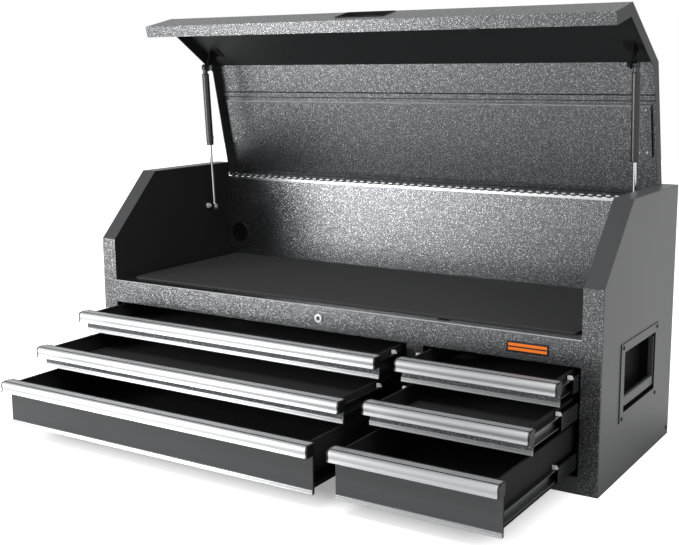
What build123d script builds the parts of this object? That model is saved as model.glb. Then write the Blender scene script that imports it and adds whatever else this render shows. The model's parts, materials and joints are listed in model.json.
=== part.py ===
from build123d import *
import math
import os

# Wide six-drawer tool chest with a slanted front, a lift-up lid and a till above the drawers.
# Millimetres. X runs along the chest, -Y is the front, +Z is up, and the origin is the centre of the
# base at floor level. The lid is drawn open and the drawers stand pulled out by their own amounts.

# Fits between pieces, and how many sides stand for the round of a small bore
moving_gap = 0.3
running_fit = 0.05
bore_sides = 12
round_sides = 24

# Cabinet
width = 1041.0
depth = 372.0
height = 458.0
front_height = 332.0
slant_run = 126.0
post_width = 33.5
sheet = 1.0
bend = 1.5
fascia_bottom = 206.0
fascia_top = 250.0
fascia_top_flange = 32.0
fascia_bottom_flange = 12.0
base_rail_height = 28.0
base_flange = 10.0
base_upstand = 20.0
divider_left = 179.0
divider_width = 31.0
floor_lap = 4.5
floor_flange = 12.0
mat_thickness = 4.0
mat_side_margin = 20.0
mat_edge_gap = 0.5
mat_corner = 8.0

# Drawers
face_side_gap = 3.0
face_row_gap = 4.75
face_top_gap = 2.0
shallow_face = 40.5
deep_face = 82.5
face_return = 4.5
trim_height = 7.6
trim_reach = 2.6
trim_groove = 2.2
trim_groove_depth = 1.2
tray_inset = 3.0
tray_length = 355.0
tray_rim = 4.0
tray_rim_drop = 5.0
liner_thickness = 2.0
liner_gap = 1.0
deep_slide_height = 57.0
left_drawn = {"top": 87.0, "middle": 197.0, "bottom": 284.0}
right_drawn = {"top": 78.0, "middle": 178.0, "bottom": 278.0}
shallow_mid_share = 0.45
deep_mid_share = 0.32

# Aluminium pull along the top of each face
pull_reach = 20.6
pull_height = 19.5
pull_back_height = 12.0
pull_band = 7.5
pull_groove = 1.2
pull_groove_depth = 1.0
pull_nose_reach = 20.0
pull_nose_drop = 10.0
pull_waist_reach = 19.3
pull_waist_drop = 14.5
pull_lip = 1.4
pull_wall = 1.8
pull_cap = 3.0
pull_cap_clear = 0.5

# Ball-bearing slides
slide_length = 345.0
slide_setback = 8.0
slide_thickness = 12.7
slide_height = 35.0
rail_sheet = 1.2
rail_flange = 9.6
rail_lip = 3.3
race_gap = 2.9
web_play = 0.4
cage_length = 110.0
cage_end_gap = 10.0
cage_width = 4.4
tip_length = 3.0
rail_slot = 9.0
rail_slot_height = 4.6
rail_slot_places = (16.0, 34.0)

# Lid
lid_open_angle = 77.2
lid_side_gap = 1.5
lid_front_gap = 2.0
lid_rim = 22.0
lid_bottom_flange = 21.5
bead_from_back = 175.0
bead_width = 12.0
bead_depth = 2.0
bead_slope = 2.0
stiffener_from_back = 73.0
stiffener_width = 95.0
stiffener_depth = 6.0
stiffener_end_gap = 14.0
grip_width = 96.0
grip_height = 40.0
grip_drop = 27.0
grip_depth = 14.0
grip_border = 3.0
catch_spacing = 480.0
catch_width = 15.0
catch_sheet = 1.5
catch_foot = 14.0
catch_reach = 11.0
catch_slot_width = 24.0
catch_slot_depth = 13.0

# Piano hinge
hinge_below_top = 27.0
knuckle_radius = 2.75
knuckle_count = 27
knuckle_gap = 0.3
hinge_length = 952.0
hinge_pin_radius = 1.4
hinge_leaf = 24.0
hinge_leaf_shown = 6.6
hinge_setback = 4.0

# Gas struts
strut_from_wall = 19.0
strut_foot_from_back = 78.0
strut_foot_below_top = 90.0
strut_head_ahead = 10.5
strut_head_below_top = 65.4
rod_radius = 3.0
rod_in_tube = 15.0
tube_radius = 7.5
tube_from_head = 166.0
tube_bore_depth = 145.0
tube_cap_gap = 14.0
tube_neck_radius = 5.5
eye_radius = 6.5
eye_width = 8.0
eye_neck = 4.5
stud_radius = 3.0
stud_overrun = 1.0
nut_radius = 6.0
nut_height = 5.0
stud_neck = 3.7
bracket_sheet = 2.0
bracket_foot = 18.0
bracket_base = 28.0
bracket_end_radius = 8.0
bracket_end_width = 12.0

# Side handles
handle_z = 162.0
handle_plate_width = 196.0
handle_plate_height = 131.0
handle_plate = 1.5
cup_width = 163.0
cup_height = 101.0
cup_depth = 26.0
cup_wall = 1.0
bail_gap = 1.5
bail_arm = 5.0
bail_grip = 18.0
bail_thickness = 8.0
bail_drop = 82.5
bail_pivot_drop = 12.0
bail_pivot_depth = 4.7
bail_pin_radius = 3.0
bail_over_pin = 5.0
bail_rounding = 2.6

# Lock and cable grommet
lock_height = 228.0
lock_flange_radius = 7.5
lock_barrel_radius = 6.0
lock_plug_radius = 4.0
lock_depth = 20.0
lock_flange = 2.0
cam_length = 18.0
cam_width = 9.0
cam_thickness = 2.0
keyway_width = 1.2
keyway_depth = 3.0
grommet_from_wall = 31.0
grommet_below_top = 156.0
grommet_hole_radius = 18.0
grommet_flange_radius = 21.0
grommet_web_radius = 13.0
grommet_flange = 2.0

# Places that follow from the sizes
front = -depth / 2
back = depth / 2
slant_top = front + slant_run
inner_half = width / 2 - post_width
back_outer = back - sheet
back_inner = back - 2 * sheet
hinge_y = back_inner - knuckle_radius
hinge_z = height - hinge_below_top
fascia_flange_end = front + fascia_top_flange
divider_right = divider_left + divider_width
lid_half = inner_half - lid_side_gap
lid_lip_bottom = fascia_top + lid_front_gap
lid_axis = Axis((0, hinge_y, hinge_z), (1, 0, 0))
banks = {
    "left": (-inner_half, divider_left, left_drawn),
    "right": (divider_right, inner_half, right_drawn),
}
top_face = fascia_bottom - face_top_gap
middle_face = top_face - shallow_face - face_row_gap
bottom_face = middle_face - shallow_face - face_row_gap
rows = {
    "top": (top_face - shallow_face, top_face, shallow_mid_share),
    "middle": (middle_face - shallow_face, middle_face, shallow_mid_share),
    "bottom": (bottom_face - deep_face, bottom_face, deep_mid_share),
}
strut_plane = inner_half - strut_from_wall
strut_foot_y = back - strut_foot_from_back
strut_foot_z = height - strut_foot_below_top
head_shut_y = slant_top - strut_head_ahead
head_shut_z = height - strut_head_below_top
grommet_x = -inner_half + grommet_from_wall
grommet_z = height - grommet_below_top

os.makedirs("parts", exist_ok=True)


def write(piece, name):
    """Label a finished piece and write it as its own STEP file."""
    piece.label = name
    export_step(piece, f"parts/{name}.step")


def swung_open(part):
    """A piece of the lid, drawn shut, turned about the hinge pin to where the open lid stands."""
    return part.rotate(lid_axis, -lid_open_angle)


def folded(points, thickness, side=Side.RIGHT):
    """Section of bent sheet metal whose outer face follows the points."""
    with BuildSketch() as section:
        with BuildLine():
            Polyline(*points)
            offset(amount=thickness, side=side, kind=Kind.INTERSECTION)
        make_face()
    return section.sketch


def side_outline(inset=0.0):
    """Five-cornered outline of the chest's side in Y and Z, drawn in on every edge by the inset."""
    with BuildSketch() as outline:
        with BuildLine():
            Polyline(
                (front, 0),
                (back, 0),
                (back, height),
                (slant_top, height),
                (front, front_height),
                close=True,
            )
        make_face()
        if inset:
            offset(amount=-inset, kind=Kind.INTERSECTION)
    return outline.sketch


# Outer side panels: a skin with returns along every edge, and a window for the handle's cup
for name, side in (("left", -1), ("right", 1)):
    with BuildPart() as side_panel:
        with BuildSketch(Plane.YZ.offset(side * width / 2)):
            add(side_outline())
        extrude(amount=-side * post_width)
        skin_edges = side_panel.faces().sort_by(Axis.X)[-1 if side > 0 else 0].edges()
        fillet(skin_edges.filter_by(lambda edge: edge.center().Z > sheet), bend)
        with BuildSketch(Plane.YZ.offset(side * (width / 2 - sheet))):
            add(side_outline(sheet))
        extrude(amount=-side * post_width, mode=Mode.SUBTRACT)
        with BuildSketch(Plane.YZ.offset(side * width / 2)):
            with Locations((0, handle_z)):
                Rectangle(cup_width + 2 * cup_wall, cup_height + 2 * cup_wall)
        extrude(amount=-side * 2 * sheet, mode=Mode.SUBTRACT)
    write(side_panel.part, f"{name}_side_panel")

# Inner walls: flat liners of the till that also carry the outermost drawer slides
with BuildPart() as inner_walls:
    for side in (-1, 1):
        with BuildSketch(Plane.YZ.offset(side * inner_half)) as wall:
            with BuildLine():
                Polyline(
                    (front + sheet, sheet),
                    (back_inner, sheet),
                    (back_inner, height - sheet),
                    (slant_top + sheet * math.tan(math.radians(22.5)), height - sheet),
                    (front + sheet, front_height - sheet * math.tan(math.radians(22.5))),
                    close=True,
                )
            make_face()
        extrude(amount=side * sheet)
write(inner_walls.part, "inner_walls")

# Back panel, lapped inside the side panels' rear returns, with a hole for the cable grommet
with BuildPart() as back_panel:
    with BuildSketch(Plane.XZ.offset(-back_outer)):
        with Locations((0, (hinge_z - hinge_setback + sheet) / 2)):
            Rectangle(width - 2 * sheet, hinge_z - hinge_setback - sheet)
        with Locations((grommet_x, grommet_z)):
            Circle(grommet_hole_radius, mode=Mode.SUBTRACT)
    extrude(amount=sheet)
write(back_panel.part, "back_panel")

# Bottom panel: a tray whose front edge folds up into the rail under the lowest drawers
with BuildPart() as bottom_panel:
    with BuildSketch(Plane.YZ.offset(-inner_half)):
        add(
            folded(
                [
                    (back_inner, base_upstand),
                    (back_inner, 0),
                    (front, 0),
                    (front, base_rail_height),
                    (front + base_flange, base_rail_height),
                ],
                sheet,
            )
        )
    extrude(amount=2 * inner_half)
    for side in (-1, 1):
        with BuildSketch(Plane.YZ.offset(side * inner_half)):
            with Locations((front + 2 * base_flange, sheet)):
                Rectangle(
                    back_inner - sheet - front - 2 * base_flange,
                    base_upstand - sheet,
                    align=(Align.MIN, Align.MIN),
                )
        extrude(amount=-side * sheet)
write(bottom_panel.part, "bottom_panel")

# Centre divider: a folded channel between the two banks, notched round the rails above and below
divider_notch = front + fascia_bottom_flange + 4.0
with BuildPart() as centre_divider:
    with BuildSketch(Plane.YZ.offset(divider_left)):
        with BuildLine():
            Polyline(
                (front, base_rail_height),
                (divider_notch, base_rail_height),
                (divider_notch, sheet),
                (back_inner - sheet, sheet),
                (back_inner - sheet, fascia_top - 2 * sheet),
                (divider_notch, fascia_top - 2 * sheet),
                (divider_notch, fascia_bottom),
                (front, fascia_bottom),
                close=True,
            )
        make_face()
    extrude(amount=divider_width)
    with BuildSketch(Plane.YZ.offset(divider_left + sheet)):
        with Locations((front + sheet, 0)):
            Rectangle(depth, height, align=(Align.MIN, Align.MIN))
    extrude(amount=divider_width - 2 * sheet, mode=Mode.SUBTRACT)
write(centre_divider.part, "centre_divider")

# Front fascia: the channel across the top of the drawers, with the lock hole and the catch slots
with BuildPart() as front_fascia:
    with BuildSketch(Plane.YZ.offset(-inner_half)):
        add(
            folded(
                [
                    (front + fascia_bottom_flange, fascia_bottom),
                    (front, fascia_bottom),
                    (front, fascia_top),
                    (fascia_flange_end, fascia_top),
                ],
                sheet,
            )
        )
    extrude(amount=2 * inner_half)
    with BuildSketch(Plane.XZ.offset(-front)):
        with Locations((0, lock_height)):
            Circle(lock_barrel_radius)
    extrude(amount=-2 * sheet, mode=Mode.SUBTRACT)
    catch_leg_y = front + lid_bottom_flange + catch_sheet
    with BuildSketch(Plane.XY.offset(fascia_top)):
        with GridLocations(catch_spacing, 0, 2, 1):
            with Locations((0, catch_leg_y + 2 * catch_sheet)):
                Rectangle(catch_slot_width, catch_slot_depth, align=(Align.CENTER, Align.MAX))
    extrude(amount=-2 * sheet, mode=Mode.SUBTRACT)
write(front_fascia.part, "front_fascia")

# Till floor, lapped under the fascia's top flange and flanged down along both walls
floor_front = fascia_flange_end - floor_lap
with BuildPart() as till_floor:
    with BuildSketch(Plane.XZ.offset(-floor_front)):
        add(
            folded(
                [
                    (-inner_half, fascia_top - sheet - floor_flange),
                    (-inner_half, fascia_top - sheet),
                    (inner_half, fascia_top - sheet),
                    (inner_half, fascia_top - sheet - floor_flange),
                ],
                sheet,
            )
        )
    extrude(amount=-(back_inner - floor_front))
write(till_floor.part, "till_floor")

# Till mat: a loose foam-rubber sheet with rounded corners
mat_front = fascia_flange_end + mat_edge_gap
with BuildPart() as till_mat:
    with BuildSketch(Plane.XY.offset(fascia_top - sheet)):
        with Locations((0, mat_front)):
            Rectangle(
                2 * (inner_half - mat_side_margin),
                back_inner - 2 * mat_edge_gap - mat_front,
                align=(Align.CENTER, Align.MIN),
            )
    extrude(amount=mat_thickness)
    fillet(till_mat.edges().filter_by(Axis.Z), mat_corner)
write(till_mat.part, "till_mat")


def c_rail(reach, half_height, start, lip):
    """C section of one slide member: web at the start, flanges to the reach, lips turned in."""
    return folded(
        [
            (reach, -half_height + lip),
            (reach, -half_height),
            (start, -half_height),
            (start, half_height),
            (reach, half_height),
            (reach, half_height - lip),
        ],
        rail_sheet,
    )


# The three members of a slide nest inside each other, with the balls' cages between their flanges
outer_half = slide_height / 2
mid_half = outer_half - rail_sheet - race_gap
inner_rail_half = mid_half - rail_sheet - race_gap
mid_start = rail_sheet + web_play
mid_reach = mid_start + rail_flange - rail_sheet + 0.2
mid_lip = 3.0
inner_reach = 8.3


def slide_plane(wall_x, direction, y, z):
    """Plane across a slide: its x runs from the wall towards the drawer, its y is up."""
    return Plane(origin=(wall_x, y, z), x_dir=(direction, 0, 0), z_dir=(0, -direction, 0))


def slide_height_of(row):
    """Height of a row's slides: mid-face on the shallow rows, low down on the deep one."""
    low, high, _ = rows[row]
    if row == "bottom":
        return deep_slide_height
    return (low + high) / 2


def slide_walls(bank):
    """The two walls of a bank, each with the way that its slide faces."""
    low, high, _ = banks[bank]
    return ((low, 1), (high, -1))


# Fixed outer members, two for every drawer
with BuildPart() as outer_rails:
    for bank in banks:
        for row in rows:
            for wall_x, direction in slide_walls(bank):
                plane = slide_plane(wall_x, direction, front + slide_setback, slide_height_of(row))
                with BuildSketch(plane):
                    add(c_rail(rail_flange, outer_half, 0, rail_lip))
                extrude(amount=-direction * slide_length)
write(outer_rails.part, "outer_rails")


def pull_section(hollow):
    """Section of the pull: flat band, groove, rounded nose and a flared finger lip."""
    nose_back = pull_band + pull_groove
    nose_run = pull_nose_reach - nose_back
    with BuildSketch() as section:
        with BuildLine():
            outer = Polyline(
                (0, -pull_back_height),
                (0, 0),
                (pull_band, 0),
                (pull_band, -pull_groove_depth),
                (nose_back, -pull_groove_depth),
                (nose_back, 0),
            )
            nose_middle = (nose_back + 0.76 * nose_run, -0.3 * pull_nose_drop)
            nose = ThreePointArc(outer @ 1, nose_middle, (pull_nose_reach, -pull_nose_drop))
            lip_top = (pull_reach, -pull_height + pull_lip / 2)
            flare = ThreePointArc(nose @ 1, (pull_waist_reach, -pull_waist_drop), lip_top)
            lip = Line(flare @ 1, (pull_reach - pull_lip, -pull_height))
            if hollow:
                Polyline(
                    lip @ 1,
                    (pull_waist_reach - pull_wall, -pull_waist_drop),
                    (pull_nose_reach - pull_wall, -pull_nose_drop),
                    (nose_middle[0] - pull_wall, nose_middle[1] - pull_wall),
                    (nose_back, -pull_groove_depth - pull_wall),
                    (pull_wall, -pull_wall),
                    (pull_wall, -pull_back_height),
                    outer @ 0,
                )
            else:
                Polyline(lip @ 1, (0, -pull_height), outer @ 0)
        make_face()
    return section.sketch


def trim_section(low):
    """Section of the trim strip along a face's bottom edge: two ribs with a groove between them."""
    high = low + trim_height
    rib = (trim_height - trim_groove) / 2
    with BuildSketch() as section:
        with BuildLine():
            Polyline(
                (0, low),
                (0, high),
                (trim_reach, high),
                (trim_reach, high - rib),
                (trim_reach - trim_groove_depth, high - rib),
                (trim_reach - trim_groove_depth, low + rib),
                (trim_reach, low + rib),
                (trim_reach, low),
                close=True,
            )
        make_face()
    return section.sketch


for bank, (bank_low, bank_high, drawn) in banks.items():
    for row, (low, high, mid_share) in rows.items():
        name = f"{bank}_{row}"
        face_y = front - drawn[row]
        face_low = bank_low + face_side_gap
        face_high = bank_high - face_side_gap
        tray_low = bank_low + slide_thickness
        tray_high = bank_high - slide_thickness
        tray_bottom = low + tray_inset
        tray_top = high - tray_inset
        tray_width = tray_high - tray_low
        tray_back = face_y + sheet + tray_length
        middle = (tray_low + tray_high) / 2
        slide_z = slide_height_of(row)

        # Drawer body: folded tray with turned-in rims, and the face across its front
        with BuildPart() as tray:
            with BuildSketch(Plane.XY.offset(tray_bottom)):
                with Locations((middle, face_y + sheet)):
                    Rectangle(tray_width, tray_length, align=(Align.CENTER, Align.MIN))
            extrude(amount=tray_top - tray_bottom)
            with BuildSketch(Plane.XY.offset(tray_bottom + sheet)):
                with Locations((middle, face_y + 2 * sheet)):
                    Rectangle(
                        tray_width - 2 * sheet,
                        tray_length - 2 * sheet,
                        align=(Align.CENTER, Align.MIN),
                    )
            extrude(amount=tray_top - tray_bottom - 2 * sheet, mode=Mode.SUBTRACT)
            with BuildSketch(Plane.XY.offset(tray_top)):
                with Locations((middle, face_y + 2 * sheet)):
                    Rectangle(
                        tray_width - 2 * tray_rim,
                        tray_length - sheet - tray_rim,
                        align=(Align.CENTER, Align.MIN),
                    )
            extrude(amount=-2 * sheet, mode=Mode.SUBTRACT)
            with BuildSketch(Plane.XZ.offset(-face_y)):
                with Locations(((face_low + face_high) / 2, (low + high) / 2)):
                    Rectangle(face_high - face_low, high - low)
            extrude(amount=-sheet)
            with BuildSketch(Plane.XZ.offset(-face_y)):
                with Locations(((face_low + face_high) / 2, (low + high) / 2)):
                    Rectangle(face_high - face_low, high - low)
                    Rectangle(
                        face_high - face_low - 2 * sheet,
                        high - low - 2 * sheet,
                        mode=Mode.SUBTRACT,
                    )
            extrude(amount=-face_return)
        write(tray.part, f"{name}_tray")

        # Ribbed rubber liner on the drawer's floor
        with BuildPart() as liner:
            with BuildSketch(Plane.XY.offset(tray_bottom + sheet)):
                with Locations((middle, face_y + 2 * sheet + liner_gap)):
                    Rectangle(
                        tray_width - 2 * sheet - 2 * liner_gap,
                        tray_length - 2 * sheet - 2 * liner_gap,
                        align=(Align.CENTER, Align.MIN),
                    )
            extrude(amount=liner_thickness)
        write(liner.part, f"{name}_liner")

        # Extruded aluminium pull with a moulded cap on each end, and the trim strip below the face
        with BuildPart() as pull:
            start = Plane((face_low, face_y, high), x_dir=(0, -1, 0), z_dir=(-1, 0, 0))
            with BuildSketch(start):
                add(pull_section(hollow=True))
            extrude(amount=-(face_high - face_low))
        with BuildPart() as caps:
            with BuildSketch(start.offset(pull_cap), start.offset(-(face_high - face_low))):
                add(pull_section(hollow=False))
                Rectangle(2 * pull_cap_clear, 3 * pull_height, mode=Mode.SUBTRACT)
            extrude(amount=-pull_cap)
        with BuildPart() as trim:
            with BuildSketch(Plane((face_low, face_y, 0), x_dir=(0, -1, 0), z_dir=(-1, 0, 0))):
                add(trim_section(low))
            extrude(amount=-(face_high - face_low))
        write(Compound(children=[*pull.solids(), *caps.solids(), *trim.solids()]), f"{name}_pull")

        # Inner slide members on the tray's sides
        with BuildPart() as inner_rails:
            for wall_x, direction in slide_walls(bank):
                plane = slide_plane(wall_x, direction, face_y + slide_setback, slide_z)
                with BuildSketch(plane):
                    add(
                        folded(
                            [
                                (slide_thickness - inner_reach, inner_rail_half),
                                (slide_thickness, inner_rail_half),
                                (slide_thickness, -inner_rail_half),
                                (slide_thickness - inner_reach, -inner_rail_half),
                            ],
                            rail_sheet,
                        )
                    )
                extrude(amount=-direction * slide_length)
                web = Plane(
                    origin=(wall_x + direction * slide_thickness, face_y + slide_setback, slide_z),
                    x_dir=(0, 1, 0),
                    z_dir=(direction, 0, 0),
                )
                with BuildSketch(web):
                    with Locations(*[(place_y, 0) for place_y in rail_slot_places]):
                        Rectangle(rail_slot, rail_slot_height)
                extrude(amount=-direction * 2 * rail_sheet, mode=Mode.SUBTRACT)
        write(inner_rails.part, f"{name}_inner_rails")

        # Middle slide members, part of the way out, with their ball cages and end tips
        mid_y = front - drawn[row] * mid_share + slide_setback
        cage_rows = (
            (mid_start + 1.6, mid_half, race_gap - moving_gap, slide_length - cage_length - cage_end_gap),
            (mid_start + 2.0, mid_half - rail_sheet, moving_gap - race_gap, cage_end_gap),
        )
        rails = []
        for wall_x, direction in slide_walls(bank):
            with BuildPart() as mid_rail:
                with BuildSketch(slide_plane(wall_x, direction, mid_y, slide_z)):
                    add(c_rail(mid_reach, mid_half, mid_start, mid_lip))
                extrude(amount=-direction * slide_length)
            rails += mid_rail.solids()
            for across, level, thick, along in cage_rows:
                with BuildPart() as cage:
                    with BuildSketch(slide_plane(wall_x, direction, mid_y + along, slide_z)):
                        for up in (-1, 1):
                            with Locations((across + cage_width / 2, up * (level + thick / 2))):
                                Rectangle(cage_width, abs(thick))
                    extrude(amount=-direction * cage_length)
                rails += cage.solids()
            with BuildPart() as tip:
                with BuildSketch(slide_plane(wall_x, direction, mid_y, slide_z)):
                    with Locations((mid_start + 1.4, mid_half - rail_sheet - race_gap + moving_gap)):
                        Rectangle(
                            mid_reach - mid_start - 1.4,
                            rail_sheet + 2 * race_gap - 2 * moving_gap,
                            align=(Align.MIN, Align.MIN),
                        )
                extrude(amount=direction * tip_length)
            rails += tip.solids()
        write(Compound(children=rails), f"{name}_mid_rails")


# Lid, drawn shut: back flange, flat top with a pressed bead, slant, front lip and bottom flange
lid_back_bottom = hinge_z + hinge_setback
bead_rear = back_outer - bead_from_back
bead_front = bead_rear - bead_width
lid_outline = [
    (front + lid_bottom_flange, lid_lip_bottom),
    (front, lid_lip_bottom),
    (front, front_height),
    (slant_top, height),
    (bead_front, height),
    (bead_front + bead_slope, height - bead_depth),
    (bead_rear - bead_slope, height - bead_depth),
    (bead_rear, height),
    (back_outer, height),
    (back_outer, lid_back_bottom),
]
rim_outline = lid_outline[:4] + lid_outline[8:]
grip_z = front_height - grip_drop
with BuildPart() as lid_shell:
    with BuildSketch(Plane.YZ.offset(-lid_half)):
        add(folded(lid_outline, sheet))
    extrude(amount=2 * lid_half)
    for side in (-1, 1):
        with BuildSketch(Plane.YZ.offset(side * lid_half)):
            with BuildLine():
                Polyline(*rim_outline)
                offset(amount=lid_rim, side=Side.RIGHT, kind=Kind.INTERSECTION)
            make_face()
        extrude(amount=-side * sheet)
    with BuildSketch(Plane.XZ.offset(-front)):
        with Locations((0, grip_z)):
            Rectangle(grip_width + 2 * sheet, grip_height + 2 * sheet)
    extrude(amount=-2 * sheet, mode=Mode.SUBTRACT)
write(swung_open(lid_shell.part), "lid_shell")

# Stiffener: a shallow channel spot-welded across the inside of the lid's top
stiffener_rear = back_outer - stiffener_from_back
with BuildPart() as lid_stiffener:
    with BuildSketch(Plane.YZ.offset(-lid_half + stiffener_end_gap)):
        add(
            folded(
                [
                    (stiffener_rear, height - sheet),
                    (stiffener_rear, height - sheet - stiffener_depth),
                    (stiffener_rear - stiffener_width, height - sheet - stiffener_depth),
                    (stiffener_rear - stiffener_width, height - sheet),
                ],
                sheet,
            )
        )
    extrude(amount=2 * (lid_half - stiffener_end_gap))
write(swung_open(lid_stiffener.part), "lid_stiffener")

# Recessed finger grip let into the lid's front lip
with BuildPart() as lid_grip:
    with BuildSketch(Plane.XZ.offset(-front)):
        with Locations((0, grip_z)):
            RectangleRounded(
                grip_width + 2 * grip_border + 2 * sheet,
                grip_height + 2 * grip_border + 2 * sheet,
                grip_border,
            )
    extrude(amount=sheet)
    with BuildSketch(Plane.XZ.offset(-front)):
        with Locations((0, grip_z)):
            Rectangle(grip_width + 2 * sheet, grip_height + 2 * sheet)
    extrude(amount=-grip_depth - sheet)
    with BuildSketch(Plane.XZ.offset(-front + sheet)):
        with Locations((0, grip_z)):
            Rectangle(grip_width, grip_height)
    extrude(amount=-grip_depth - sheet, mode=Mode.SUBTRACT)
write(swung_open(lid_grip.part), "lid_grip")

# Lid brackets: the two strut plates on the slant and the two catches on the bottom flange
slant_angle = math.atan2(height - front_height, slant_run)
slant_dir = (math.cos(slant_angle), math.sin(slant_angle))
slant_in = (slant_dir[1], -slant_dir[0])
head_depth = (slant_top - head_shut_y) * -slant_in[0] + (height - head_shut_z) * -slant_in[1]
foot_y = head_shut_y - slant_in[0] * (head_depth - sheet)
foot_z = head_shut_z - slant_in[1] * (head_depth - sheet)
bracket_plane = strut_plane - eye_width / 2 - moving_gap - stud_neck
bracket_end = bracket_end_width / 2
brackets = []
for side in (-1, 1):
    with BuildPart() as strut_bracket:
        with BuildSketch(Plane.YZ.offset(side * bracket_plane)):
            with BuildLine():
                Polyline(
                    (foot_y - slant_dir[0] * bracket_base / 2, foot_z - slant_dir[1] * bracket_base / 2),
                    (foot_y + slant_dir[0] * bracket_base / 2, foot_z + slant_dir[1] * bracket_base / 2),
                    (head_shut_y + slant_dir[0] * bracket_end, head_shut_z + slant_dir[1] * bracket_end),
                    (head_shut_y - slant_dir[0] * bracket_end, head_shut_z - slant_dir[1] * bracket_end),
                    close=True,
                )
            make_face()
            with Locations((head_shut_y, head_shut_z)):
                Circle(bracket_end_radius)
        extrude(amount=-side * bracket_sheet)
        foot_frame = Plane(
            origin=(side * (bracket_plane - bracket_sheet), foot_y, foot_z),
            x_dir=(0, *slant_dir),
            z_dir=(-side, 0, 0),
        )
        with BuildSketch(foot_frame):
            with Locations((0, side * bracket_sheet / 2)):
                Rectangle(bracket_base, bracket_sheet)
        extrude(amount=bracket_foot)
        with BuildSketch(Plane.YZ.offset(side * (bracket_plane - bracket_sheet))):
            with Locations((head_shut_y, head_shut_z)):
                RegularPolygon(nut_radius, 6)
        extrude(amount=-side * nut_height)
    brackets += strut_bracket.solids()
with BuildPart() as catches:
    for side in (-1, 1):
        with BuildSketch(Plane.YZ.offset(side * catch_spacing / 2 - catch_width / 2)):
            add(
                folded(
                    [
                        (catch_leg_y - catch_foot, lid_lip_bottom + sheet + catch_sheet),
                        (catch_leg_y, lid_lip_bottom + sheet + catch_sheet),
                        (catch_leg_y, lid_lip_bottom - catch_reach),
                    ],
                    catch_sheet,
                )
            )
        extrude(amount=catch_width)
brackets += catches.solids()
write(swung_open(Compound(children=brackets)), "lid_brackets")


def knuckle_row(first):
    """Barrels of one hinge leaf, every second knuckle, each with the tab that joins it to the leaf."""
    pitch = hinge_length / knuckle_count
    up = 1 if first else -1
    with BuildPart() as barrels:
        for index in range(first, knuckle_count, 2):
            start = -hinge_length / 2 + index * pitch + knuckle_gap / 2
            with BuildSketch(Plane.YZ.offset(start)):
                with Locations((hinge_y, hinge_z)):
                    RegularPolygon(knuckle_radius, bore_sides)
                with Locations((back_inner, hinge_z)):
                    corner = (Align.MAX, Align.MIN if up > 0 else Align.MAX)
                    Rectangle(sheet, hinge_setback + sheet, align=corner)
                with Locations((hinge_y, hinge_z)):
                    RegularPolygon(
                        hinge_pin_radius + running_fit,
                        bore_sides,
                        major_radius=False,
                        mode=Mode.SUBTRACT,
                    )
            extrude(amount=pitch - knuckle_gap)
    return barrels.part


def hinge_leaf_plate(low, high):
    """Flat leaf of the hinge, against the back panel or the lid's back flange."""
    with BuildPart() as plate:
        with BuildSketch(Plane.XZ.offset(-back_inner)):
            with Locations((0, low)):
                Rectangle(hinge_length - knuckle_gap, high - low, align=(Align.CENTER, Align.MIN))
        extrude(amount=sheet)
    return plate.part


# Piano hinge: one leaf on the back panel, one on the lid, and the pin through every knuckle
with BuildPart() as hinge_body_leaf:
    add(hinge_leaf_plate(hinge_z - hinge_setback - hinge_leaf_shown, hinge_z - hinge_setback))
    add(knuckle_row(0))
write(hinge_body_leaf.part, "hinge_body_leaf")

with BuildPart() as hinge_lid_leaf:
    add(hinge_leaf_plate(hinge_z + hinge_setback, hinge_z + hinge_leaf))
    add(knuckle_row(1))
write(swung_open(hinge_lid_leaf.part), "hinge_lid_leaf")

with BuildPart() as hinge_pin:
    with BuildSketch(Plane.YZ.offset(-hinge_length / 2)):
        with Locations((hinge_y, hinge_z)):
            Circle(hinge_pin_radius)
    extrude(amount=hinge_length)
write(hinge_pin.part, "hinge_pin")

# Gas struts, drawn on the left and mirrored: rod and eye at the foot, pressure tube and head above
lid_turn = math.radians(lid_open_angle)
head_out = head_shut_y - hinge_y
head_up = head_shut_z - hinge_z
strut_head_y = hinge_y + head_out * math.cos(lid_turn) + head_up * math.sin(lid_turn)
strut_head_z = hinge_z - head_out * math.sin(lid_turn) + head_up * math.cos(lid_turn)
strut_length = math.hypot(strut_head_y - strut_foot_y, strut_head_z - strut_foot_z)
strut_dir = (0, (strut_head_y - strut_foot_y) / strut_length, (strut_head_z - strut_foot_z) / strut_length)
strut_foot = Plane(
    origin=(-strut_plane, strut_foot_y, strut_foot_z), x_dir=(1, 0, 0), z_dir=strut_dir
)
eye_side = strut_plane - eye_width / 2
tube_start = strut_length - tube_from_head
tube_end = strut_length - tube_cap_gap
rod_length = tube_start + rod_in_tube
with BuildPart() as strut_rod:
    with BuildSketch(strut_foot.offset(eye_neck)):
        Circle(rod_radius)
    extrude(amount=rod_length - eye_neck)
    with BuildSketch(Plane.YZ.offset(-eye_side)):
        with Locations((strut_foot_y, strut_foot_z)):
            Circle(eye_radius)
    extrude(amount=-eye_width)
    with BuildSketch(Plane.YZ.offset(-eye_side + eye_width)):
        with Locations((strut_foot_y, strut_foot_z)):
            Circle(stud_radius + running_fit)
    extrude(amount=-3 * eye_width, mode=Mode.SUBTRACT)

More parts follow.
